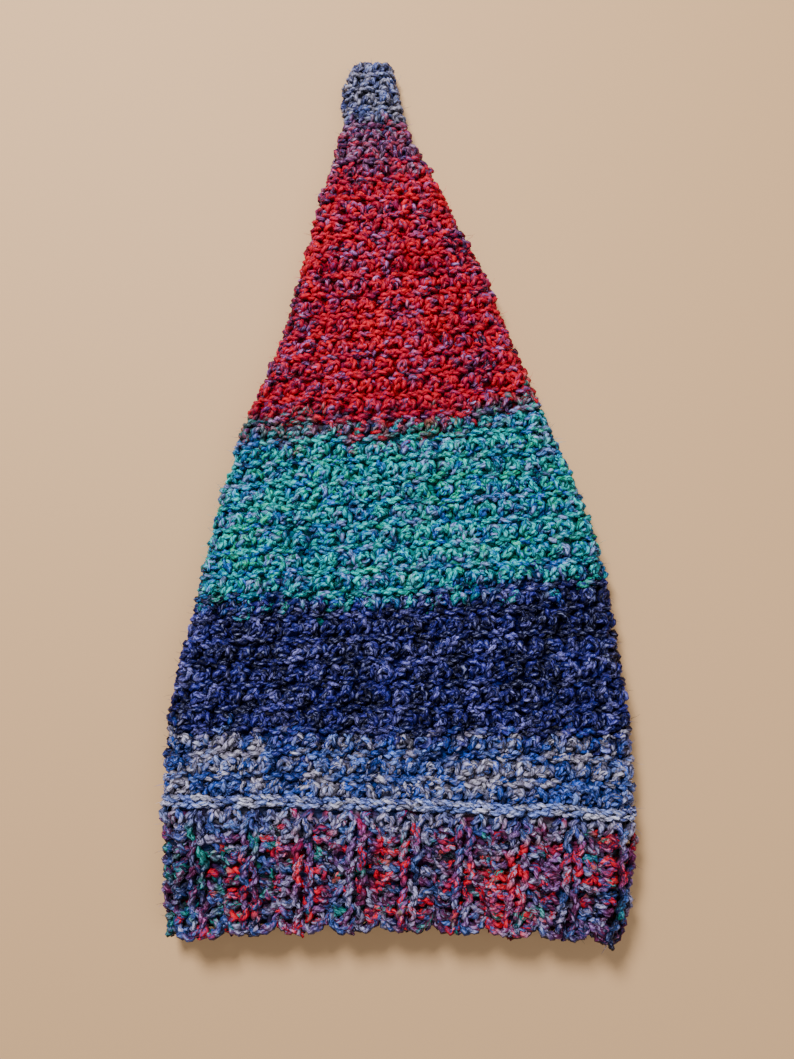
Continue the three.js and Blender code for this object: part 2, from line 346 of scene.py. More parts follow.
RIB_RIGHT = ((0.6, -0.2, -4.2), (0.78, 0.1, -2.6), (0.8, 0.42, -2.1), (0.72, 0.72, -2.2), (0.6, 1.04, -4.4))
RIB_WRAP = (
    (-0.1, -0.34, -4.2), (0.14, -0.05, -3.0), (0.44, 0.26, -2.6),
    (0.76, 0.5, -2.6), (1.02, 0.8, -4.6),
)
RIB_LINK_UP = (
    (-0.2, 0.44, -3.6), (0.12, 0.8, -1.9), (0.55, 0.92, -1.3),
    (0.96, 0.74, -1.3), (1.28, 0.5, -3.2),
)
RIB_LINK_DOWN = (
    (-0.2, 0.56, -3.6), (0.12, 0.2, -1.9), (0.55, 0.08, -1.3),
    (0.96, 0.26, -1.3), (1.28, 0.5, -3.2),
)

# Rows of a rib: where each starts and ends as a share of the rib, and its strands
RIB_ROWS = (
    (0.0, 0.37, (RIB_LEFT, RIB_RIGHT, RIB_WRAP)),
    (1.0, 0.63, (RIB_LEFT, RIB_RIGHT, RIB_WRAP)),
    (0.34, 0.66, (RIB_LINK_UP, RIB_LINK_DOWN)),
)

# A loop that turns round the free edge: points of (along the edge, in from it, height), for two strands
EDGE_LOOP = (
    (-0.04, 6.0, -1.5), (0.04, 2.6, 0.0), (0.26, 0.6, 0.3), (0.5, 0.1, 0.4),
    (0.74, 0.6, 0.3), (0.96, 2.6, 0.0), (1.04, 6.0, -1.5),
)
EDGE_DEPTHS = (-2.4, -5.6)
EDGE_JITTER = 0.3

# Pieces of the crown's yarn, each with where it ends
CROWN_PIECES = (
    ("crown_yarn_steel", 92.0),
    ("crown_yarn_navy", 166.0),
    ("crown_yarn_teal", 250.0),
    ("crown_yarn_red", 404.0),
    ("crown_yarn_tip", 900.0),
)


def section_tables():
    """Fine tables of every section column along the hat, joined smoothly from row to row as in the part."""
    rows = [(row[0] * CROWN_START,) + row[1:] for row in BRIM_SECTIONS]
    rows += [(CROWN_START + row[0] * CROWN_LENGTH,) + row[1:] for row in CROWN_SECTIONS]
    rows = np.array(rows)
    at = rows[:, 0]
    fine = np.linspace(0.0, TIP, TABLE_PLACES)
    k = np.clip(np.searchsorted(at, fine, side="right") - 1, 0, len(at) - 2)
    span = at[k + 1] - at[k]
    t = (fine - at[k]) / span
    tables = {}
    for name, index in COLUMNS.items():
        value = rows[:, index]
        rise = np.empty(len(at))
        rise[1:-1] = (value[2:] - value[:-2]) / (at[2:] - at[:-2])
        rise[0] = (value[1] - value[0]) / (at[1] - at[0])
        rise[-1] = (value[-1] - value[-2]) / (at[-1] - at[-2])
        tables[name] = (
            (2 * t**3 - 3 * t**2 + 1) * value[k]
            + (t**3 - 2 * t**2 + t) * span * rise[k]
            + (3 * t**2 - 2 * t**3) * value[k + 1]
            + (t**3 - t**2) * span * rise[k + 1]
        )
    return fine, tables


TABLE_Y, TABLES = section_tables()


def column(name, y):
    """One of the section's values at places y along the hat."""
    return np.interp(y, TABLE_Y, TABLES[name])


def smoothstep(value, low, high):
    """0 below low, 1 above high and a soft step between."""
    t = np.clip((value - low) / (high - low), 0.0, 1.0)
    return t * t * (3 - 2 * t)


def section(y, wall):
    """Half the straight layer, the fold's radius and the height of its centre."""
    half_width = HAT_WIDTH / 2 * column("half_width", y)
    radius = np.minimum((HOLLOW_HEIGHT + 2 * wall) * column("height", y) / 2, ROUNDEST_FOLD * half_width)
    brim_centre = HOLLOW_HEIGHT / 2 + BRIM_WALL
    settle = smoothstep(y, CROWN_START, CROWN_START + SETTLE_LENGTH)
    centre = brim_centre + (radius - brim_centre) * settle
    return half_width - radius, radius, centre


def loop_length(y, wall):
    """Length once round the hat, in the middle of the wall."""
    straight, radius, _ = section(y, wall)
    return 4 * straight + 2 * math.pi * (radius - wall / 2)


def soft_floor(z):
    """Yarn that would sink into the surface is pressed flat on it, and keeps its order."""
    squashed = FLOOR_SQUASH * np.exp((z - FLOOR_SQUASH) / FLOOR_SQUASH)
    return np.where(z < FLOOR_SQUASH, squashed, z)


def surface(turn, y, out, wall):
    """Points of the flattened hat. turn counts once round it from the middle of the upper layer."""
    straight, radius, centre = section(y, wall)
    layer = 2 * straight
    fold = math.pi * (radius - wall / 2)
    loop = 2 * (layer + fold)
    distance = np.mod(turn * loop + straight, loop)
    side = sum((distance >= end).astype(int) for end in (layer, layer + fold, 2 * layer + fold))
    start = np.choose(side, [0 * layer, layer, layer + fold, 2 * layer + fold])
    t = (distance - start) / np.where(side % 2 == 0, layer, fold)
    reach = radius + out
    angle = math.pi * (t - 0.5)
    across = straight * (2 * t - 1)
    round_x = straight + reach * np.cos(angle)
    x = np.choose(side, [across, round_x, -across, -round_x])
    z = np.choose(side, [reach, -reach * np.sin(angle), -reach, reach * np.sin(angle)])
    middle = 1 - (x / (straight + radius)) ** 2
    sag = np.where(z > 0, UPPER_SAG * middle * straight / (HAT_WIDTH / 2), 0.0)
    skew = column("slope", y) * x + column("bow", y) * HAT_WIDTH * middle
    x = x + HAT_WIDTH * column("shift", y)
    return np.stack([x, y + skew, soft_floor(centre + z - sag)], axis=-1)


def catmull_rom(knots, samples):
    """Weights that turn control points into a smooth path."""
    u = np.linspace(0, knots - 1, samples)
    k = np.minimum(u.astype(int), knots - 2)
    t = u - k
    parts = (
        -0.5 * t + t**2 - 0.5 * t**3,
        1 - 2.5 * t**2 + 1.5 * t**3,
        0.5 * t + 2 * t**2 - 1.5 * t**3,
        -0.5 * t**2 + 0.5 * t**3,
    )
    weights = np.zeros((samples, knots))
    for offset, part in zip((-1, 0, 1, 2), parts):
        np.add.at(weights, (np.arange(samples), np.clip(k + offset, 0, knots - 1)), part)
    return weights


def normalise(vectors):
    """The same directions with length 1."""
    return vectors / np.maximum(np.linalg.norm(vectors, axis=-1, keepdims=True), 1e-9)


def smooth_noise(x, y, seed):
    """Gentle patches of 0 to 1, a few stitches wide."""
    waves = np.random.default_rng(seed)
    total = np.zeros_like(x)
    for _ in range(PATCH_WAVES):
        angle = waves.uniform(0, 2 * math.pi)
        length = waves.uniform(*PATCH_LENGTHS)
        phase = waves.uniform(0, 2 * math.pi)
        total += np.sin(2 * math.pi * (x * math.cos(angle) + y * math.sin(angle)) / length + phase)
    return np.clip(0.5 + total / (PATCH_WAVES - 1), 0, 1)


def cell_noise(x, y, seed):
    """One chance of 0 to 1 for each stitch, so that its strands share a colour."""
    by_x, by_y, by_seed, gain = CELL_NOISE
    value = np.sin(np.floor(x) * by_x + np.floor(y) * by_y + seed * by_seed) * gain
    return value - np.floor(value)


def chances(x, y, seed):
    """Chances with patches a few stitches wide, so that a colour lasts along the yarn."""
    loose = rng.uniform(0, 1, x.shape)
    patch = smooth_noise(x, y, seed)
    stitch = cell_noise(x / STITCH_WIDTH, y / ROUND_PITCH, seed)
    mixed = PATCH_SHARE * (patch - 0.5) + STITCH_SHARE * (stitch - 0.5) + LOOSE_SHARE * (loose - 0.5)
    return np.clip(0.5 + mixed, 0, 0.999)


def to_linear(colour):
    """Scene colour of a palette colour, made purer and darker because the picture's tones wash it out."""
    share = np.asarray(colour, dtype=float) / 255.0
    plain = np.where(share <= 0.04045, share / 12.92, ((share + 0.055) / 1.055) ** 2.4)
    grey = plain.mean(axis=-1, keepdims=True)
    return np.clip(grey + PURITY * (plain - grey), DARKEST_DYE, 1) * DYE_GAIN


def pick(palette, chance):
    """One colour of a palette for each chance of 0 to 1."""
    shares = np.cumsum([share for share, _ in palette])
    colours = to_linear([colour for _, colour in palette])
    return colours[np.minimum(np.searchsorted(shares, chance), len(palette) - 1)]


def stripe_index(x, y):
    """Number of the crown's stripe at each place, counted from the join."""
    index = np.zeros(x.shape, dtype=int)
    for _, ends in STRIPES[:-1]:
        index += y > np.interp(x, STRIPE_SPOTS, ends)
    return index


def crown_colours(x, y, ply):
    """Colours of the crown's stripes, which blend where two meet."""
    blurred = y + rng.normal(0, STRIPE_BLEND, y.shape)
    index = stripe_index(x, blurred)
    chance = chances(x, y, CROWN_SEED)
    colours = np.zeros(x.shape + (3,))
    for k, (name, _) in enumerate(STRIPES):
        here = index == k
        colours[here] = pick(PALETTES[name][ply], chance[here])
    return colours


def plain_colours(name):
    """A function that gives the colours of one palette."""

    def colours(x, y, ply):
        return pick(PALETTES[name][ply], chances(x, y, PLAIN_SEED))

    return colours


def brim_colours(x, y, ply):
    """Colours of the brim, which change from left to right and into the edge round's at the top."""
    spots = (-STRIPE_REACH, 0.0, STRIPE_REACH)
    shares = np.stack([np.interp(x, spots, row[1]) for row in BRIM_YARN], axis=-1)
    shares = np.cumsum(shares / shares.sum(axis=-1, keepdims=True), axis=-1)
    chance = chances(x * BRIM_PATCH_SCALE[0], y * BRIM_PATCH_SCALE[1], BRIM_SEED + ply)
    index = (chance[..., None] > shares).sum(axis=-1)
    colours = to_linear([row[0] for row in BRIM_YARN])[np.minimum(index, len(BRIM_YARN) - 1)]
    near_top = smoothstep(y + rng.normal(0, EDGE_BLEND, y.shape), *EDGE_FADE)[..., None]
    edge = plain_colours("edge")(x, y, ply)
    return np.where(near_top > 0.5, edge, colours)


class Pieces:
    """Collects tubes by piece name, and makes one mesh of each."""

    def __init__(self):
        self.store = {}

    def add(self, name, points, faces, colours, fibres, **shares):
        """Adds tubes to a piece. colours is the ply's own and its partner's, both with painted shade;
        shares steer the painted side shade, top light and highlight gleam.
        """
        empty = {"points": [], "faces": [], "colours": [], "fibres": [], "shares": [], "count": 0}
        piece = self.store.setdefault(name, empty)
        piece["faces"].append(faces + piece["count"])
        piece["points"].append(points)
        piece["colours"].append(colours)
        piece["fibres"].append(fibres)
        piece["shares"].append(shares)
        piece["count"] += len(points)

    def make(self, name, material):
        """Makes the piece's object, with the colours, which hold painted shade, and the shares that steer
        the painted shade and highlight, on its points.
        """
        piece = self.store[name]
        mesh = bpy.data.meshes.new(name)
        points = np.concatenate(piece["points"]) + origin
        mesh.from_pydata((points * MM).tolist(), [], np.concatenate(piece["faces"]).tolist())
        for k, attribute in enumerate(("yarn", "marl")):
            colours = np.concatenate([pair[k] for pair in piece["colours"]])
            colours = np.concatenate([colours, np.ones((len(colours), 1))], axis=1)
            layer = mesh.color_attributes.new(attribute, "FLOAT_COLOR", "POINT")
            layer.data.foreach_set("color", colours.astype(np.float32).ravel())
        fibre = mesh.attributes.new("fibre", "FLOAT_VECTOR", "POINT")
        fibre.data.foreach_set("vector", np.concatenate(piece["fibres"]).astype(np.float32).ravel())
        # crest steers the painted side shade and top light, depth holds the share of the painted highlight
        # gleam, and the contrast share sets how soft the painted shade is
        for share in ("crest", "depth", "contrast"):
            values = np.concatenate([strands[share] for strands in piece["shares"]])
            layer = mesh.attributes.new(share, "FLOAT", "POINT")
            layer.data.foreach_set("value", values.astype(np.float32))
        mesh.polygons.foreach_set("use_smooth", np.ones(len(mesh.polygons), dtype=bool))
        mesh.materials.append(material)
        mesh.update()
        thing = bpy.data.objects.new(name, mesh)
        bpy.context.scene.collection.objects.link(thing)
        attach(thing, "root")
        return thing


pieces = Pieces()


def tube_faces(tubes, samples, sides):
    """Quads of many tubes at once."""
    ring = np.arange(samples - 1)[:, None] * sides
    around = np.arange(sides)[None, :]
    nxt = (around + 1) % sides
    corners = [ring + around, ring + nxt, ring + sides + nxt, ring + sides + around]
    quads = np.stack(corners, axis=-1).reshape(-1, 4)
    offsets = (np.arange(tubes) * samples * sides)[:, None, None]
    return (quads[None] + offsets).reshape(-1, 4)


def shaded(colour, light):
    """A ply's colour with painted shade down in the fabric, where bright dyes keep more of the painted
    light than dark ones.
    """
    glow = 1 - DEEP_GLOW * np.sqrt(np.clip(colour / DYE_GAIN, 0, 1))
    return colour[:, :, None, :] * light[..., None] ** glow[:, :, None, :]


def fuzz(names, centre, normal, side, tangent, colour):
    """Fine loose fibres that stand off the yarn, most of them along the folds and at the tip."""
    samples = centre.shape[1]
    middle = centre[:, samples // 2]
    half_width = HAT_WIDTH / 2 * column("half_width", middle[:, 1])
    across = np.abs(middle[:, 0] - HAT_WIDTH * column("shift", middle[:, 1])) / half_width
    at_fold = smoothstep(across, *FUZZ_FOLDS)
    at_tip = smoothstep(middle[:, 1], TIP - FUZZ_TIP[0], TIP - FUZZ_TIP[1])
    share = FUZZ_SHARES[0] + FUZZ_SHARES[1] * np.maximum(at_fold, at_tip)
    grown = np.flatnonzero(rng.uniform(0, 1, len(middle)) < share)
    if len(grown) == 0:
        return
    at = rng.integers(2, samples - 2, len(grown))
    lean = rng.normal(0, 1, (2, len(grown), 1))
    root = centre[grown, at]
    way = rng.uniform(*FUZZ_RISE, (len(grown), 1)) * normal[grown, at]
    way = way + FUZZ_LEAN[0] * lean[0] * side[grown, at] + FUZZ_LEAN[1] * lean[1] * tangent[grown, at]
    way = normalise(way)
    curl = normalise(np.cross(way, rng.normal(0, 1, way.shape)))
    reach = rng.uniform(*FUZZ_REACH, (len(grown), 1))
    angles = 2 * math.pi * np.arange(FUZZ_SIDES) / FUZZ_SIDES
    second = normalise(np.cross(way, curl))
    rings = []
    for out, thickness in FUZZ_RINGS:
        spot = root + reach * (out * way + FUZZ_CURL * out**2 * curl)
        ring = np.cos(angles)[:, None] * curl[:, None] + np.sin(angles)[:, None] * second[:, None]
        rings.append(spot[:, None] + FUZZ_RADIUS * thickness * ring)
    points = np.stack(rings, axis=1)
    points[..., 2] = np.maximum(points[..., 2], LOWEST_FUZZ)
    each = len(FUZZ_RINGS) * FUZZ_SIDES
    # Painted highlight: the loose fibres take the lit colour from the top of the yarn, made lighter
    tone = np.repeat(np.clip(colour[grown] * FUZZ_LIGHT, 0, 1), each, axis=0)
    even = np.ones(len(tone))
    kinds = np.array([name.split("_")[0] + "_fuzz" for name in names[grown]])
    for kind in np.unique(kinds):
        here = kinds == kind
        some = np.repeat(here, each)
        pieces.add(
            kind,
            points[here].reshape(-1, 3),
            tube_faces(int(here.sum()), len(FUZZ_RINGS), FUZZ_SIDES),
            (tone[some], tone[some]),
            points[here].reshape(-1, 3) * LOOSE_FIBRE_SCALE,
            crest=even[some],
            depth=even[some],
            contrast=even[some],
        )


def strand_frame(path, wall, flip):
    """Each strand's middle line, with its directions out of the fabric, along the strand and across it."""
    turn, y, out = path[..., 0], path[..., 1], path[..., 2]
    if flip:
        out = -wall - out
    centre = surface(turn, y, out, wall)
    outward = surface(turn, y, out + 0.5, wall) - surface(turn, y, out - 0.5, wall)
    normal = normalise(outward) * (-1 if flip else 1)
    tangent = normalise(np.gradient(centre, axis=1))
    return centre, normal, tangent, normalise(np.cross(tangent, normal))


def dye(centre, colours_of):
    """Each ply's colour along each strand, which changes once from its start to its end."""
    samples = centre.shape[1]
    blend = smoothstep(np.linspace(0, 1, samples), *DYE_CHANGE)[None, :, None]
    dyed = []
    for ply in range(len(PLIES)):
        start = colours_of(centre[:, samples // 4, 0], centre[:, samples // 4, 1], ply)
        finish = colours_of(centre[:, 3 * samples // 4, 0], centre[:, 3 * samples // 4, 1], ply)
        strength = rng.uniform(*DYE_STRENGTHS, (len(centre), 1, 1))
        dyed.append((start[:, None] * (1 - blend) + finish[:, None] * blend) * strength)
    return dyed


def lay_yarn(piece_of, knots, wall, colours_of, detail, width=1.0, flip=False, relief=None, twist=1.0):
    """Twisted yarn along many strands.

    knots is (strands, points, 3): turn round the hat, place along it and height over the outer face.
    """
    samples = detail["samples"]
    sides = detail["sides"]
    path = np.einsum("sk,nkc->nsc", catmull_rom(knots.shape[1], samples), knots)
    centre, normal, tangent, side = strand_frame(path, wall, flip)
    up = np.cross(side, tangent)
    one_each = (len(centre), 1)
    step = np.linalg.norm(np.diff(centre, axis=1), axis=-1)
    length = np.concatenate([np.zeros(one_each), np.cumsum(step, axis=1)], axis=1)
    phase = rng.uniform(0, 2 * math.pi, one_each)
    turns = 2 * math.pi / (TWIST_LENGTH * twist * rng.uniform(*TWIST_SPREAD, one_each))
    slubs = 2 * math.pi * length / rng.uniform(*SLUB_LENGTHS, one_each)
    slubs = slubs + rng.uniform(*SLUB_PHASES, one_each)
    height = path[..., 2]
    if relief:
        height = height - relief(path[..., 0], path[..., 1])
    from_end = np.minimum(np.linspace(0, 1, samples), np.linspace(1, 0, samples))
    ends = np.minimum(1.0, END_WIDTH + END_SWELL * from_end)
    swell = width * rng.uniform(*WIDTH_SPREAD, one_each) * (1 + SLUB * np.sin(slubs)) * ends
    names = piece_of(centre[:, samples // 2])
    angles = 2 * math.pi * np.arange(sides) / sides
    dyed = dye(centre, colours_of)
    for ply, (ply_radius, ply_offset) in enumerate(PLIES):
        wind = turns * length + phase + ply * math.pi
        middle = centre + (ply_offset * swell)[..., None] * (
            np.cos(wind)[..., None] * up + np.sin(wind)[..., None] * side
        )
        radius = (ply_radius * swell * (1 + PLUMPNESS * np.cos(wind)))[..., None, None]
        ring = np.cos(angles)[:, None] * up[:, :, None, :] + np.sin(angles)[:, None] * side[:, :, None, :]
        points = middle[:, :, None, :] + radius * ring
        lift = np.einsum("nskc,nsc->nsk", points - centre[:, :, None, :], normal)
        # Painted shade: darker down in the fabric and where the ply turns under the other
        depth = smoothstep(lift + height[:, :, None], DEEPEST, SHALLOWEST)
        # Which way each point faces out of the fabric, for the painted side shade and top light in the
        # material
        facing = np.einsum("nskc,nsc->nsk", ring, normal)
        turned = smoothstep(np.cos(wind), -TURNED_SPAN, TURNED_SPAN)[..., None]
        light = DEEP_SHADE + (1 - DEEP_SHADE) * depth
        light = light * (UNDER_SHADE + (1 - UNDER_SHADE) * turned)
        points[..., 2] = np.maximum(points[..., 2], LOWEST_YARN)
        colour = dyed[ply]
        redness = (colour[..., 0] - colour[..., 1:].max(axis=-1)) / DYE_GAIN
        redness = np.clip(RED_REACH * redness, 0, 1)[:, :, None]
        # Share of the painted highlight gleam: less down in the fabric and on bright reds
        gleam = light * (1 - RED_GLEAM_CUT * redness)
        # How strong the painted side shade is: softer on bright reds
        contrast = (1 - RED_SHADE_SOFTNESS * redness) * np.ones(light.shape)
        colour = shaded(colour, light)
        # The partner ply's dye colour, with the same painted shade, for the marl
        marl = shaded(dyed[1 - ply], light)
        fibre = np.empty(points.shape)
        spun = angles + FIBRE_TWIST * length[:, :, None]
        fibre[..., 0] = length[:, :, None] + rng.uniform(0, FIBRE_OFFSET, (len(centre), 1, 1))
        fibre[..., 1] = np.cos(spun)
        fibre[..., 2] = np.sin(spun)
        if ply == 0 and detail is not PLAIN:
            fuzz(names, centre, normal, side, tangent, colour[:, samples // 2, 0])
        for name in np.unique(names):
            here = names == name
            pieces.add(
                name,
                points[here].reshape(-1, 3),
                tube_faces(int(here.sum()), samples, sides),
                (colour[here].reshape(-1, 3), marl[here].reshape(-1, 3)),
                fibre[here].reshape(-1, 3),
                crest=facing[here].ravel(),
                depth=gleam[here].ravel(),
                contrast=contrast[here].ravel(),
            )


def jittered(shape, count):
    """The shape's points for many strands, with small differences in each strand and each point."""
    points = np.array(shape)[None] + rng.normal(0, 1, (count, len(shape), 3)) * JITTER * POINT_JITTER
    return points + rng.normal(0, 1, (count, 1, 3)) * JITTER


def row_furrow(phase):
    """Depth of the furrows between two rounds and, shallower, along the middle of a round."""
    between = np.cos(math.pi * phase) ** ROUND_FURROW_SHARPNESS
    middle = np.sin(math.pi * (phase - MIDDLE_FURROW_SHIFT)) ** MIDDLE_FURROW_SHARPNESS
    return ROUND_FURROW * between + MIDDLE_FURROW * middle


def stitch_knots(shape, counts, columns, starts, heights):
    """Control points of one strand shape, repeated with small differences over many stitches."""
    points = jittered(shape, len(columns))
    knots = np.empty_like(points)
    knots[..., 0] = (columns[:, None] + points[..., 0]) / counts[:, None]
    knots[..., 1] = starts[:, None] + points[..., 1] * heights[:, None]
    knots[..., 2] = points[..., 2] - row_furrow(points[..., 1])
    return knots


def on_underside(turn, y, wall):
    """True where a stitch lies in the lower layer, away from the folds."""
    return surface(turn, y, np.zeros_like(turn), wall)[..., 2] < UNDERSIDE_HEIGHT


def named(name):
    """A function that puts every strand in one piece."""
    return lambda centre: np.full(len(centre), name)


def crown_piece(centre):
    """The piece that a strand of the crown belongs to."""
    names = np.array([name for name, _ in CROWN_PIECES])
    ends = np.array([end for _, end in CROWN_PIECES])
    return names[np.searchsorted(ends, centre[:, 1])]


def crown_under_piece(centre):
    """The piece that a strand of the crown's lower layer belongs to."""
    return np.where(centre[:, 1] < UNDER_SPLIT, "crown_under_wide", "crown_under_narrow")


def crown_yarn():
    """Rounds of half double stitches over the whole crown."""
    rounds = round(CROWN_LENGTH / ROUND_PITCH)
    height = CROWN_LENGTH / rounds
    counts, columns, starts = [], [], []
    for k in range(rounds):
        start = CROWN_START + k * height
        loop = float(loop_length(start + height / 2, CROWN_WALL))
        count = max(TIP_STITCHES, round(loop / STITCH_WIDTH))
        counts += [count] * count
        columns += list(np.arange(count) + ROUND_DRIFT * k + rng.uniform(-ROUND_SPREAD, ROUND_SPREAD))
        starts += [start] * count
    counts, columns, starts = np.array(counts), np.array(columns), np.array(starts)
    heights = np.full(len(counts), height)
    under = on_underside((columns + 0.5) / counts, starts + height / 2, CROWN_WALL)
    for shape in (LEFT_LEG, RIGHT_LEG, WRAP, SECOND_WRAP, FRONT_LOOP):
        knots = stitch_knots(shape, counts, columns, starts, heights)
        lay_yarn(crown_piece, knots[~under], CROWN_WALL, crown_colours, FINE)
        if shape not in (WRAP, SECOND_WRAP):
            lay_yarn(crown_under_piece, knots[under], CROWN_WALL, crown_colours, PLAIN)


def ring_yarn(name, shapes, colours_of, start, height, rise, width=1.0, twist=1.0):
    """One round of strands at the join, all the way round and slightly wavy."""
    count = round(float(loop_length(start, CROWN_WALL)) / STITCH_WIDTH)
    columns = np.arange(count) + 0.0
    counts, starts, heights = [np.full(count, value) for value in (count, start, height)]
    for shape in shapes:
        knots = stitch_knots(shape, counts, columns, starts, heights)
        place = 2 * math.pi * knots[..., 0] * count
        knots[..., 1] += RING_WAVE * sum(np.sin(place / span + shift) for span, shift in RING_WAVES)
        knots[..., 2] += rise
        lay_yarn(named(name), knots, CROWN_WALL, colours_of, FINE, width=width, twist=twist)


def rib_relief(turn, y):
    """How far the brim's face lies below the rib crests."""
    loop = loop_length(y, BRIM_WALL)
    phase = np.mod((turn * loop - RIB_START) / loop * RIB_COUNT, 1.0)
    full = 1 - np.abs(2 * phase - 1) ** 3
    return -RIB_DEPTH * (1 - full)


def scallop(turn, y):
    """How far the furrows' ends stand back from the free edge."""
    return SCALLOP_DEPTH * rib_relief(turn, y) / -RIB_DEPTH * (1 - smoothstep(y, 0, BRIM_LENGTH / 3))


def rib_knots(shape, ribs, along, low, high, spacing):
    """Control points of a strand that lies sideways in a rib: across the stitch becomes along the hat."""
    points = jittered(shape, len(ribs))
    y = (along[:, None] + points[..., 0]) * spacing
    loop = loop_length(np.clip(y, 0, BRIM_LENGTH), BRIM_WALL)
    turn = RIB_START / loop + (ribs[:, None] + low + (high - low) * points[..., 1]) / RIB_COUNT
    return np.stack([turn, y + scallop(turn, y), points[..., 2] + rib_relief(turn, y)], axis=-1)


def brim_yarn():
    """Two sideways rows in each rib, from furrow to crest and back."""
    spacing = (BRIM_LENGTH - RIB_MARGIN) / RIB_STITCHES
    ribs, along = np.meshgrid(np.arange(RIB_COUNT), np.arange(RIB_STITCHES), indexing="ij")
    ribs = ribs.ravel().astype(float)
    along = along.ravel().astype(float) + RIB_STITCH_START
    middle = (ribs + 0.5) / RIB_COUNT
    under = on_underside(middle, along * 0 + BRIM_LENGTH / 2, BRIM_WALL)
    for low, high, shapes in RIB_ROWS:
        for shape in shapes:
            knots = rib_knots(shape, ribs, along, low, high, spacing)
            for name, some, detail in (("brim_yarn", ~under, FINE), ("brim_under_yarn", under, PLAIN)):
                lay_yarn(named(name), knots[some], BRIM_WALL, brim_colours, detail, relief=rib_relief)
            inner = rib_knots(shape, ribs, along, low, high, spacing)
            inner[..., 2] -= rib_relief(inner[..., 0], inner[..., 1])
            if shape is not RIB_WRAP:
                lay_yarn(named("brim_inner_yarn"), inner, BRIM_WALL, brim_colours, PLAIN, flip=True)


def brim_edge():
    """Loops that turn round the free edge at the end of each row."""
    starts = np.repeat(np.arange(RIB_COUNT * 2), 2)
    knots = np.repeat(np.array(EDGE_LOOP)[None], len(starts), axis=0)
    knots[..., 1:] += rng.normal(0, EDGE_JITTER, knots[..., 1:].shape)
    loop = float(loop_length(0.0, BRIM_WALL))
    turn = RIB_START / loop + (starts[:, None] + knots[..., 0]) / (2 * RIB_COUNT)
    depth = np.tile(EDGE_DEPTHS, RIB_COUNT * 2)[:, None] + knots[..., 2]
    y = knots[..., 1] + scallop(turn, 0.0)
    knots = np.stack([turn, y, depth + rib_relief(turn, 0.0) * 0.5], axis=-1)
    lay_yarn(named("brim_edge_yarn"), knots, BRIM_WALL, brim_colours, LONG)


def core_shell(name, start, end, wall, colours_of, closed_tip=False, relief=None):
    """A dark sheet inside the fabric, painted shade that shows between the strands."""
    turns = np.linspace(0, 1, CORE_SIDES, endpoint=False)
    places = np.linspace(start, end, max(3, round((end - start) / CORE_STEP)))
    inner = [y for y in places[::-1] if not closed_tip or y <= TIP - GATHERED_TIP_LENGTH]
    rings = []
    for y in places:
        out = np.full(CORE_SIDES, CORE_OUTER) + (relief(turns, y) if relief else 0.0)
        rings.append(surface(turns, np.full(CORE_SIDES, y), out, wall))
    for y in inner:
        out = np.full(CORE_SIDES, CORE_INNER - wall)
        rings.append(surface(turns, np.full(CORE_SIDES, y), out, wall))
    points = np.stack(rings)
    wrap = np.arange(CORE_SIDES)
    nxt = (wrap + 1) % CORE_SIDES
    base = (len(points) - 1) * CORE_SIDES
    closing = np.stack([base + wrap, base + nxt, nxt, wrap], axis=-1)
    faces = np.concatenate([tube_faces(1, len(points), CORE_SIDES), closing])
    flat = points.reshape(-1, 3)
    # Painted shade: the sheet takes the dye colour, darkened, and gets no painted highlight
    colour = colours_of(flat[:, 0], flat[:, 1], 0) * CORE_SHADE
    even = np.ones(len(flat))
    fibre = flat * LOOSE_FIBRE_SCALE
    pieces.add(name, flat, faces, (colour, colour), fibre, crest=even, depth=0 * even, contrast=even)


def map_range(nodes, span, ends, interpolation):
    """A node that turns values of span into values of ends."""
    node = nodes.new("ShaderNodeMapRange")
    node.interpolation_type = interpolation
    values = {"From Min": span[0], "From Max": span[1], "To Min": ends[0], "To Max": ends[1]}
    for socket, value in values.items():
        node.inputs[socket].default_value = value
    return node


def operation(nodes, kind, name):
    """A node of the Math or VectorMath kind that does the named operation."""
    node = nodes.new("ShaderNode" + kind)
    node.operation = name
    return node


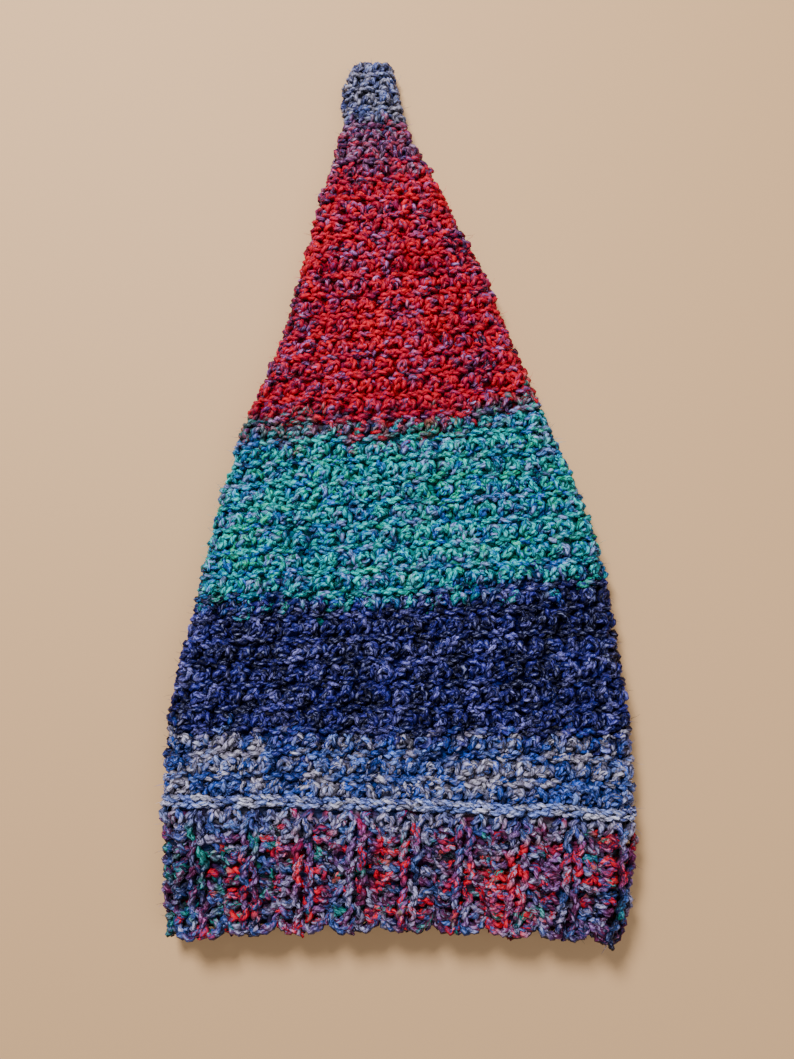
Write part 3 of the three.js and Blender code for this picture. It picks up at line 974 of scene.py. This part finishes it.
def yarn_material(name, finish):
    """Soft glossy acrylic: the two plies' marled colours, with fine fibres that run along the yarn, painted
    shade on each ply's sides, painted light on its top and a painted highlight gleam.
    """
    rough, gloss = finish
    material = bpy.data.materials.new(name)
    material.use_nodes = True
    nodes = material.node_tree.nodes
    nodes.clear()
    output = nodes.new("ShaderNodeOutputMaterial")
    shader = nodes.new("ShaderNodeBsdfPrincipled")
    shader.inputs["Roughness"].default_value = rough
    shader.inputs["Specular IOR Level"].default_value = gloss
    shader.inputs["Sheen Weight"].default_value = SHEEN_SHARE * gloss
    shader.inputs["Sheen Roughness"].default_value = SHEEN_ROUGHNESS
    given = {}
    for attribute in ("yarn", "marl", "fibre", "crest", "depth", "contrast"):
        given[attribute] = nodes.new("ShaderNodeAttribute")
        given[attribute].attribute_name = attribute
    scale = nodes.new("ShaderNodeMapping")
    scale.inputs["Scale"].default_value = FIBRE_STRETCH
    noise = nodes.new("ShaderNodeTexNoise")
    noise.inputs["Scale"].default_value = FIBRE_SCALE
    noise.inputs["Detail"].default_value = FIBRE_DETAIL
    noise.inputs["Roughness"].default_value = FIBRE_ROUGHNESS
    channels = nodes.new("ShaderNodeSeparateColor")
    strands = map_range(nodes, MARL_SPAN, (0.0, 1.0), "SMOOTHSTEP")
    marled = nodes.new("ShaderNodeMix")
    marled.data_type = "RGBA"
    ragged = operation(nodes, "Math", "MULTIPLY_ADD")
    ragged.inputs[1].default_value = FIBRE_RAGGEDNESS
    # Painted shade on the sides of each ply and painted light on its top, with ragged edges from the fibres
    round_shade = map_range(nodes, SHADE_SPAN, (SIDE_SHADE, TOP_LIGHT), "SMOOTHSTEP")
    # Softer painted shade where the contrast share is lower, as on bright reds
    softened = operation(nodes, "Math", "POWER")
    lit = operation(nodes, "VectorMath", "SCALE")
    # Painted highlight: a pale gleam added to the colour along the top of each ply
    gleam = map_range(nodes, GLEAM_SPAN, (0.0, GLEAM), "LINEAR")
    pale = operation(nodes, "Math", "MULTIPLY")
    shine = operation(nodes, "VectorMath", "SCALE")
    shine.inputs[0].default_value = GLEAM_COLOUR
    final = operation(nodes, "VectorMath", "ADD")
    bump = nodes.new("ShaderNodeBump")
    bump.inputs["Strength"].default_value = BUMP_STRENGTH
    bump.inputs["Distance"].default_value = BUMP_DEPTH
    links = (
        (given["fibre"], "Vector", scale, "Vector"),
        (scale, "Vector", noise, "Vector"),
        (noise, "Fac", ragged, 0),
        (given["crest"], "Fac", ragged, 2),
        (ragged, "Value", round_shade, "Value"),
        (ragged, "Value", gleam, "Value"),
        (gleam, "Result", pale, 0),
        (given["depth"], "Fac", pale, 1),
        (noise, "Color", channels, "Color"),
        (channels, "Green", strands, "Value"),
        (strands, "Result", marled, "Factor"),
        (given["yarn"], "Color", marled, "A"),
        (given["marl"], "Color", marled, "B"),
        (marled, "Result", lit, 0),
        (round_shade, "Result", softened, 0),
        (given["contrast"], "Fac", softened, 1),
        (softened, "Value", lit, "Scale"),
        (pale, "Value", shine, "Scale"),
        (lit, "Vector", final, 0),
        (shine, "Vector", final, 1),
        (final, "Vector", shader, "Base Color"),
        (noise, "Fac", bump, "Height"),
        (bump, "Normal", shader, "Normal"),
        (shader, "BSDF", output, "Surface"),
    )
    for start, leaves, end, enters in links:
        material.node_tree.links.new(start.outputs[leaves], end.inputs[enters])
    return material


def make_camera():
    """The photograph's view: nearly straight down, from over the lower crown."""
    camera = bpy.data.cameras.new("camera")
    camera.lens = CAMERA_LENS
    camera.sensor_width = CAMERA_SENSOR
    camera.clip_start = CAMERA_NEAR
    seat = bpy.data.objects.new("camera", camera)
    place = np.array(CAMERA_PLACE) + origin
    seat.location = place * MM
    seat.rotation_euler = [math.radians(angle) for angle in CAMERA_ANGLES]
    bpy.context.scene.collection.objects.link(seat)
    bpy.context.scene.camera = seat


def direction_angles(aim):
    """Angles that point a lamp's -Z along aim."""
    flat = math.hypot(aim[0], aim[1])
    return (math.atan2(flat, -aim[2]), 0.0, math.atan2(aim[0], -aim[1]) + math.pi)


def make_stage():
    """A plain pale floor, a soft main light from beyond the tip and a weak fill."""
    mesh = bpy.data.meshes.new("floor")
    corners = [(x * FLOOR_REACH, y * FLOOR_REACH, 0) for x, y in ((-1, -1), (1, -1), (1, 1), (-1, 1))]
    mesh.from_pydata(corners, [], [(0, 1, 2, 3)])
    floor = bpy.data.objects.new("floor", mesh)
    bpy.context.scene.collection.objects.link(floor)
    paint = bpy.data.materials.new("floor_paint")
    paint.use_nodes = True
    shader = paint.node_tree.nodes["Principled BSDF"]
    shader.inputs["Base Color"].default_value = FLOOR_COLOUR
    shader.inputs["Roughness"].default_value = FLOOR_ROUGHNESS
    mesh.materials.append(paint)
    for name, place, size, power in LIGHTS:
        light = bpy.data.lights.new(name, "AREA")
        light.size = size
        light.energy = power
        lamp = bpy.data.objects.new(name, light)
        lamp.location = place
        lamp.rotation_euler = direction_angles(-np.array(place))
        bpy.context.scene.collection.objects.link(lamp)
    world = bpy.data.worlds.new("studio")
    world.use_nodes = True
    sky = world.node_tree.nodes["Background"]
    sky.inputs["Color"].default_value = SKY_COLOUR
    sky.inputs["Strength"].default_value = SKY_STRENGTH
    bpy.context.scene.world = world


# The part's origin lies under the middle of the hat. Where the tip and the join lie in the frame gives
# the shift.
crown_high = np.array(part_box("crown")[1]) / MM
ridge_low, ridge_high = [np.array(corner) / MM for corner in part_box("chain_ridge")]
ridge_middle = HAT_WIDTH * float(column("shift", RIDGE_START + RIDGE_LENGTH / 2))
origin = np.array([(ridge_low[0] + ridge_high[0]) / 2 - ridge_middle, crown_high[1] - TIP, 0.0])

make_camera()
make_stage()

ridge_colours = plain_colours("ridge")
edge_colours = plain_colours("edge")
ridge_core_end = RIDGE_START + RIDGE_LENGTH + CORE_LAP
# Dark sheets of painted shade inside the fabric, which show between the strands
core_shell("crown_core", CROWN_START, TIP, CROWN_WALL, crown_colours, closed_tip=True)
core_shell("ridge_core", RIDGE_START - CORE_LAP, ridge_core_end, CROWN_WALL, ridge_colours)
core_shell("edge_core", EDGE_ROUND_START - CORE_LAP, RIDGE_START, CROWN_WALL, edge_colours)
core_shell("brim_core", BRIM_CORE_START, BRIM_LENGTH, BRIM_WALL, brim_colours, relief=rib_relief)
crown_yarn()
ring_yarn("ridge_yarn", (LINK_UP, LINK_DOWN), ridge_colours, **RIDGE_ROUND)
ring_yarn("edge_yarn", (LEFT_LEG, RIGHT_LEG), edge_colours, **EDGE_ROUND)
brim_yarn()
brim_edge()

yarn = yarn_material("yarn", YARN_FINISH)
shade = yarn_material("yarn_depth_shade", CORE_FINISH)
made = {}
for name in sorted(pieces.store):
    made[name] = pieces.make(name, shade if name.endswith("_core") else yarn)
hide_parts("crown")
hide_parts("chain_ridge")
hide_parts("edge_round")
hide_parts("brim_band")

total = 0
for name, thing in made.items():
    triangles = sum(len(face.vertices) - 2 for face in thing.data.polygons)
    total += triangles
    print(name, triangles)
print("all", total)
